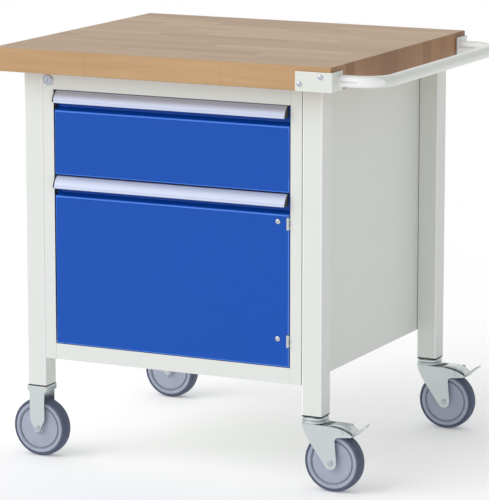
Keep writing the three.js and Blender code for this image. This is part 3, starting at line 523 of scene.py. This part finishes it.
def grip_strip(name, body):
    """The strip's section: a flange over the front, an arc out to the lip, and two fine grooves."""
    low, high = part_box(name)
    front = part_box("side_panel_left")[0].y
    start, end = STRIP_TURN
    radius = (front - low.y) / (math.cos(start) - math.cos(end))
    centre = Vector((front - radius * math.cos(start), high.z - radius * math.sin(start)))

    def at(r, angle):
        return centre + Vector((r * math.cos(angle), r * math.sin(angle)))

    def arc(r, from_angle, to_angle, steps):
        return [at(r, from_angle + (to_angle - from_angle) * i / steps) for i in range(steps + 1)]

    def groove(angle):
        half = math.radians(0.9)
        depth = 0.5 * MM
        return [
            at(radius, angle - half), *arc(radius - depth, angle - half / 2, angle + half / 2, 1),
            at(radius, angle + half),
        ]

    turn = end - start
    middle = centre + Vector((math.cos(end), math.sin(end))) * (radius - STRIP_WALL / 2)
    down = Vector((-math.sin(end), math.cos(end)))
    outwards = Vector((math.cos(end), math.sin(end)))
    lip = [
        middle + (outwards * math.cos(a) + down * math.sin(a)) * STRIP_WALL / 2
        for a in (math.pi * i / 6 for i in range(1, 6))
    ]
    section = [
        Vector((high.y, high.z)), Vector((front, high.z)),
        *groove(start + turn * 0.1), *arc(radius, start + turn * 0.16, start + turn * 0.8, 14),
        *groove(start + turn * 0.86), *arc(radius, start + turn * 0.92, end, 2), *lip,
        *arc(radius - STRIP_WALL, end, start + math.radians(4), 16),
        Vector((high.y, high.z - STRIP_WALL)),
    ]
    # The section's first and second values lie along Y and Z, and the strip runs along X.
    lay = Matrix(((0, 0, 1, low.x), (1, 0, 0, 0), (0, 1, 0, 0), (0, 0, 0, 1)))
    strip = finished(f"{name}_extrusion", plate(section, high.x - low.x), lay, aluminium, body,
                     math.radians(24))
    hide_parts(name)


def dress_grip(prefix, body):
    grip_strip(f"{prefix}_grip_strip", body)
    for side in SIDES:
        dress(f"{prefix}_strip_cap_{side}", black_plastic, 0.5 * MM, 3)


dress("drawer_front", blue, 0.4 * MM, 2, FOLD_RADIUS)
dress("drawer_tray", light_grey, 0.5 * MM)
dress_grip("drawer", "drawer")
for side in SIDES:
    for member in ("fixed", "middle", "inner"):
        dress(f"slide_{member}_{side}", zinc, 0.5 * MM)


# ---- Door -----------------------------------------------------------------------------------------
# Made like the drawer's front, and hung on two small butt hinges set into notches in its right edge.
# A bright slotted screw beside each notch holds the hinge's leaf from the front.

chrome = zinc_plate("bright_nickel", colour(192, 197, 204), 0.18)


def carve(piece, *cutters):
    """Cuts closed bmeshes out of a piece, and keeps the result as its mesh."""
    for i, cutter in enumerate(cutters):
        data = bpy.data.meshes.new("cutter")
        bmesh.ops.recalc_face_normals(cutter, faces=cutter.faces)
        cutter.to_mesh(data)
        cutter.free()
        tool = bpy.data.objects.new("cutter", data)
        bpy.context.scene.collection.objects.link(tool)
        cut = piece.modifiers.new("cut", "BOOLEAN")
        cut.object = tool
        bpy.context.view_layer.update()
        graph = bpy.context.evaluated_depsgraph_get()
        result = bpy.data.meshes.new_from_object(piece.evaluated_get(graph))
        piece.modifiers.remove(cut)
        bpy.data.objects.remove(tool)
        piece.data = result


def slot_cutter(length, width, depth, place):
    """A slot's space, cut down from just above a head's top."""
    half, side = length / 2, width / 2
    outline = [(-half, -side), (half, -side), (half, side), (-half, side)]
    mesh = plate(outline, depth * 3)
    mesh.transform(place @ Matrix.Translation((0, 0, -depth)))
    return mesh


def screw(name, body, at, direction, radius, height, slots=(0.0,)):
    """A domed screw head with one driving slot, or two that cross."""
    dome = [(0, -0.5 * MM), (radius, -0.5 * MM), (radius, height * 0.35)]
    steps = 7
    for i in range(1, steps + 1):
        angle = math.pi / 2 * i / steps
        dome.append((radius * math.cos(angle), height * (0.35 + 0.65 * math.sin(angle))))
    dome[-1] = (0, height)
    place = placed(at, direction)
    head = finished(name, turned(dome, 32), place, chrome, body)
    top = place @ Matrix.Translation((0, 0, height))
    carve(head, *[
        slot_cutter(radius * 1.5, radius * 0.26, height * 0.5, top @ Matrix.Rotation(a, 4, "Z"))
        for a in slots
    ])


FORWARD = (0, -1, 0)
HINGE_SCREW_INSET = 26 * MM  # hinge leaf's edge to the screw
HINGE_SCREW_RISE = 3 * MM
HINGE_SCREW_RADIUS = 5.6 * MM
SCREW_HEIGHT = 2.6 * MM
dress("door_leaf", blue, 0.4 * MM, 2, FOLD_RADIUS)
dress_grip("door", "door")
for place, tilt in (("top", 0.9), ("bottom", 0.5)):
    for part in ("frame_leaf", "door_leaf", "pin"):
        dress(f"hinge_{place}_{part}", zinc, 0)
    low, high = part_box(f"hinge_{place}_door_leaf")
    door_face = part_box("door_leaf")[0].y
    centre = (high.x - HINGE_SCREW_INSET, door_face, (low.z + high.z) / 2 + HINGE_SCREW_RISE)
    screw(f"hinge_{place}_screw", "door", centre, FORWARD, HINGE_SCREW_RADIUS, SCREW_HEIGHT, (tilt,))


# ---- Lock -----------------------------------------------------------------------------------------
# A round cam lock in the left flange. Its cam lifts a flat bar behind the flange, whose tongues then
# stand in front of the hooks of the drawer and the door.

BORE = 5.3 * MM
BARREL = 8 * MM
BARREL_END = -23 * MM
SEAT = -0.3 * MM  # underside of the bezel's flange, let into the paint

low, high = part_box("lock_housing")
flange_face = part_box("side_panel_left")[0].y
lock_place = placed(((low.x + high.x) / 2, flange_face, (low.z + high.z) / 2), FORWARD)
lock_radius = (high.x - low.x) / 2
proud = flange_face - low.y
bezel_profile = rounded([
    (BORE, BARREL_END), (BARREL, BARREL_END), (BARREL, SEAT), (lock_radius, SEAT),
    (lock_radius, proud * 0.45), (lock_radius * 0.9, proud), (lock_radius * 0.78, proud),
    (lock_radius * 0.72, proud * 0.4), (BORE + 1.5 * MM, proud * 0.4),
    (BORE + 1 * MM, proud), (BORE, proud - 0.4 * MM),
], 0.25 * MM)
bezel = finished("lock_bezel", turned(bezel_profile, 64, closed=True), lock_place, chrome,
                 "frame")
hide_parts("lock_housing")
dress("lock_plug", chrome, 0.15 * MM)
dress("locking_bar", zinc, 0.3 * MM)


# ---- Push handle ----------------------------------------------------------------------------------
# Round steel tube bent in a wide U and welded to two angle plates, powder-coated with them. Each
# plate wraps a corner of the worktop and is held by two screws in front.

HANDLE_BEND = 57 * MM
gloss_grey = powder_coat("handle_powder_coat", colour(220, 223, 216), 0.27)

low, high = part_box("push_handle_tube")
tube_radius = (high.z - low.z) / 2
tube_x = high.x - tube_radius
tube_y = high.y - tube_radius
tube_z = (low.z + high.z) / 2


def bend(centre_x, centre_y, from_angle, steps=20):
    for i in range(steps + 1):
        angle = from_angle + math.pi / 2 * i / steps
        yield (
            centre_x + HANDLE_BEND * math.cos(angle),
            centre_y + HANDLE_BEND * math.sin(angle),
            tube_z,
        )


route = [
    (low.x, -tube_y, tube_z),
    *bend(tube_x - HANDLE_BEND, -tube_y + HANDLE_BEND, -math.pi / 2),
    *bend(tube_x - HANDLE_BEND, tube_y - HANDLE_BEND, 0),
    (low.x, tube_y, tube_z),
]
curve = bpy.data.curves.new("push_handle_bent_tube", "CURVE")
curve.dimensions = "3D"
curve.bevel_depth = tube_radius
curve.bevel_resolution = 10
curve.use_fill_caps = True
spline = curve.splines.new("POLY")
spline.points.add(len(route) - 1)
for point, place in zip(spline.points, route):
    point.co = (*place, 1)
curve.materials.append(gloss_grey)
handle = bpy.data.objects.new("push_handle_bent_tube", curve)
bpy.context.scene.collection.objects.link(handle)
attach(handle, "frame")
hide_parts("push_handle_tube")

WELD_BEAD = 2.6 * MM
BRACKET_SCREWS = ((9.5 * MM, 14 * MM), (55.5 * MM, 30 * MM))  # along and up from the plate's corner
BRACKET_SCREW_RADIUS = 5.4 * MM
CROSSED = (0.4, 0.4 + math.pi / 2)
for end, sign in zip(ENDS, (-1, 1)):
    dress(f"handle_bracket_{end}", gloss_grey, 1.0 * MM, 3)
    low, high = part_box(f"handle_bracket_{end}")
    face = low.y if sign < 0 else high.y
    for i, (inset, rise) in enumerate(BRACKET_SCREWS):
        at = (low.x + inset, face, low.z + rise)
        screw(f"bracket_screw_{end}_{i}", "frame", at, (0, sign, 0), BRACKET_SCREW_RADIUS,
              SCREW_HEIGHT, CROSSED)
    bead = [
        (tube_radius - 1 * MM, 0), (tube_radius + WELD_BEAD, 0),
        (tube_radius + WELD_BEAD * 0.7, WELD_BEAD * 0.6), (tube_radius, WELD_BEAD),
        (tube_radius - 1 * MM, WELD_BEAD),
    ]
    at = (high.x, sign * tube_y, tube_z)
    finished(f"handle_weld_{end}", turned(rounded(bead, 0.8 * MM), 48, closed=True),
             placed(at, (1, 0, 0)), gloss_grey, "frame")


# ---- Casters --------------------------------------------------------------------------------------
# Pressed zinc-plated forks. The left pair is fixed; the right pair turns under a two-step ball race
# and has a pedal brake. Each wheel is a slate-grey solid tyre moulded on a grey-blue plastic rim.


def tyre_rubber():
    """Solid non-marking rubber: matt, finely grained, with a pale bloom."""
    rubber = Finish("slate_tyre", specular_ior_level=0.35)
    bloom = rubber.noise(rubber.place, 45.0, 4.0, 0.6)
    grain = rubber.noise(rubber.place, 1400.0, 2.0)
    rubber.set(
        base_color=rubber.blend(bloom, colour(70, 77, 98), colour(90, 97, 120)),
        roughness=0.5 + bloom * 0.16 + grain * 0.08,
    )
    rubber.emboss(grain * 0.6 + bloom * 0.4, 0.06 * MM)
    return rubber.material


tyre_finish = tyre_rubber()
rim_finish = moulded_plastic("grey_blue_rim", colour(150, 156, 172), 0.42)

# Both profiles are pairs of radius and height in millimetres, for a wheel of this radius.
NOMINAL_RADIUS = 62.5
TYRE = [
    (49.5, -9), (55.2, -13.5), (56.2, -15.2), (59, -14.8), (61.6, -11.5), (62.5, -6), (62.5, 6),
    (61.6, 11.5), (59, 14.8), (56.2, 15.2), (55.2, 13.5), (49.5, 9),
]
RIM = [
    (4.5, -20), (12.5, -20), (14, -14.6), (17, -13.6), (43.4, -13.6), (44.2, -9.8), (46.6, -9.8),
    (47.4, -14.6), (49.5, -16), (53, -16), (55.6, -14), (49.5, -9), (49.5, 9), (55.6, 14), (53, 16),
    (49.5, 16), (47.4, 14.6), (46.6, 9.8), (44.2, 9.8), (43.4, 13.6), (17, 13.6), (14, 14.6),
    (12.5, 20), (4.5, 20),
]
SIDEWAYS = (0, 1, 0)


def wheel(name, body):
    low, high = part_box(name)
    size = (high.z - low.z) / 2 / NOMINAL_RADIUS
    place = placed((low + high) / 2, SIDEWAYS)
    for part, profile, material, curve_radius in (
        ("tyre", TYRE, tyre_finish, 3.0), ("rim", RIM, rim_finish, 1.0),
    ):
        outline = rounded([(r * size, h * size) for r, h in profile], curve_radius * MM, closed=True)
        piece = finished(f"{name}_{part}", turned(outline, 96, closed=True), place, material, body,
                         math.radians(40))
        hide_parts(name)


def axle(name, body):
    """A riveted through bolt: at each end a peened button stands on a round washer face."""
    low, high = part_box(name)
    centre = (low + high) / 2
    head = (high.z - low.z) / 2
    shaft = 4 * MM
    half = (high.y - low.y) / 2
    thick = 2 * MM
    profile = [
        (0, -half), (head * 0.5, -half), (head * 0.62, -half + thick * 0.6),
        (head * 0.9, -half + thick * 0.5), (head, -half + thick), (shaft, -half + thick),
        (shaft, half - thick), (head, half - thick), (head * 0.9, half - thick * 0.5),
        (head * 0.62, half - thick * 0.6), (head * 0.5, half), (0, half),
    ]
    bolt = finished(f"{name}_bolt", turned(rounded(profile, 0.6 * MM), 40),
                    placed(centre, SIDEWAYS), chrome, body)
    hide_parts(name)


def swivel_race(end):
    """Two pressed bearing cups, one on the other, over the fork, with the kingpin's nut below."""
    name = f"swivel_mount_{end}_right"
    low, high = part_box(name)
    centre = (low + high) / 2
    radius = (high.x - low.x) / 2
    cup_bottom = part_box(f"swivel_fork_{end}_right")[1].z + 0.3 * MM
    cup_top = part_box(f"leg_plug_{end}_right")[0].z - 0.3 * MM
    step = (cup_bottom + cup_top) / 2
    profile = [
        (0, low.z), (10 * MM, low.z), (10 * MM, low.z + 2.5 * MM), (6 * MM, low.z + 2.5 * MM),
        (6 * MM, cup_bottom), (radius - 3 * MM, cup_bottom), (radius, cup_bottom + 2.2 * MM),
        (radius, step - 1.6 * MM), (radius - 3.2 * MM, step - 0.4 * MM),
        (radius - 3.2 * MM, step + 0.4 * MM), (radius - 1 * MM, step + 1.6 * MM),
        (radius - 1 * MM, cup_top - 1.6 * MM), (radius - 4 * MM, cup_top),
        (8 * MM, cup_top), (8 * MM, high.z), (0, high.z),
    ]
    race = finished(f"{name}_race", turned(rounded(profile, 1.1 * MM), 64),
                    placed((centre.x, centre.y, 0)), zinc, "frame")
    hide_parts(name)


def pedal_details(end):
    """The paddle's rolled tip, and the screw that sets how hard the brake bites."""
    body = f"brake_pedal_{end}_right"
    low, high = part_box(body)
    middle = (low.y + high.y) / 2
    half = TIP_WIDTH / 2
    radius = TIP_RADIUS
    tip = [(0, -half), (radius * 0.7, -half), (radius, -half + radius * 0.5)]
    tip += [(r, -h) for r, h in reversed(tip)]
    at = (high.x - radius, middle, high.z - radius * 0.4)
    finished(f"{body}_rolled_tip", turned(rounded(tip, radius * 0.5), 24),
             placed(at, SIDEWAYS), zinc, body)
    plug_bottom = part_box(f"leg_plug_{end}_right")[0].z
    screw_at = (high.x - SET_SCREW_BACK, middle, plug_bottom - SET_SCREW_DROP)
    screw(f"{body}_set_screw", body, screw_at, (0.3, 0, 1), SET_SCREW_RADIUS, SCREW_HEIGHT, (0.6,))


TIP_WIDTH = 20 * MM
TIP_RADIUS = 2.4 * MM
SET_SCREW_BACK = 36 * MM
SET_SCREW_DROP = 12 * MM
SET_SCREW_RADIUS = 4 * MM

for end in ENDS:
    dress(f"fixed_fork_{end}_left", zinc, 0.9 * MM, 3)
    wheel(f"wheel_{end}_left", f"wheel_{end}_left")
    axle(f"axle_{end}_left", "frame")

    caster = f"caster_{end}_right"
    dress(f"swivel_fork_{end}_right", zinc, 0.8 * MM, 3)
    dress(f"brake_pedal_{end}_right", zinc, 1.6 * MM, 3)
    pedal_details(end)
    wheel(f"wheel_{end}_right", f"wheel_{end}_right")
    axle(f"axle_{end}_right", caster)
    swivel_race(end)


# ---- Studio ---------------------------------------------------------------------------------------
# A plain white floor under even white light, with a broad soft lamp in front on the left, so that the
# front is the brightest side of the cabinet and the right side falls off a little.

FLOOR_HALF = 9.0
floor_mesh = bmesh.new()
corners = [(-FLOOR_HALF, -FLOOR_HALF), (FLOOR_HALF, -FLOOR_HALF), (FLOOR_HALF, FLOOR_HALF),
           (-FLOOR_HALF, FLOOR_HALF)]
floor_mesh.faces.new([floor_mesh.verts.new((x, y, 0)) for x, y in corners])
floor_data = bpy.data.meshes.new("floor")
floor_mesh.to_mesh(floor_data)
floor_mesh.free()
floor_finish = Finish("white_floor", roughness=0.9, specular_ior_level=0.1,
                      emission_color=(1, 1, 1, 1), emission_strength=0.17)
floor_tone = floor_finish.noise(floor_finish.place, 1.5, 2.0)
OFF_WHITES = ((0.93, 0.93, 0.93, 1), (0.96, 0.96, 0.96, 1))
floor_finish.set(base_color=floor_finish.blend(floor_tone, *OFF_WHITES))
floor_data.materials.append(floor_finish.material)
floor = bpy.data.objects.new("floor", floor_data)
bpy.context.scene.collection.objects.link(floor)

studio = Finish("studio", bpy.data.worlds, "Background", strength=1.15)
studio.place = studio.node("ShaderNodeTexCoord", output="Generated")
right, _, up = studio.axes()
dimming = right.math("MAXIMUM", 0) * 0.5 + up.math("MAXIMUM", 0) ** 2 * 0.56
white = (1, 1, 1, 1)
lit = studio.blend(dimming, white, (0.02, 0.025, 0.04, 1))
seen = studio.node("ShaderNodeLightPath", output="Is Camera Ray")
studio.set(color=studio.blend(seen, lit, white))
bpy.context.scene.world = studio.material
bpy.context.scene.view_settings.view_transform = "Standard"

SUN_FROM = (-0.55, -0.62, 0.56)
SUN_STRENGTH = 0.9
SUN_SPREAD = math.radians(50)
sun = bpy.data.lights.new("soft_key", "SUN")
sun.energy = SUN_STRENGTH
sun.angle = SUN_SPREAD
sun_holder = bpy.data.objects.new("soft_key", sun)
sun_holder.rotation_euler = Vector(SUN_FROM).to_track_quat("Z", "Y").to_euler()
bpy.context.scene.collection.objects.link(sun_holder)

CAMERA_PLACE = (2.906, -6.011, 1.688)
CAMERA_YAW = math.radians(26.014)
CAMERA_PITCH = math.radians(10.686)
LENS = 228.9
FILM_WIDTH = 36
camera_data = bpy.data.cameras.new("camera")
camera_data.lens = LENS
camera_data.sensor_width = FILM_WIDTH
camera_data.clip_end = 60
camera = bpy.data.objects.new("camera", camera_data)
camera.location = CAMERA_PLACE
camera.rotation_euler = (math.pi / 2 - CAMERA_PITCH, 0, CAMERA_YAW)
bpy.context.scene.collection.objects.link(camera)
bpy.context.scene.camera = camera

bpy.context.view_layer.update()
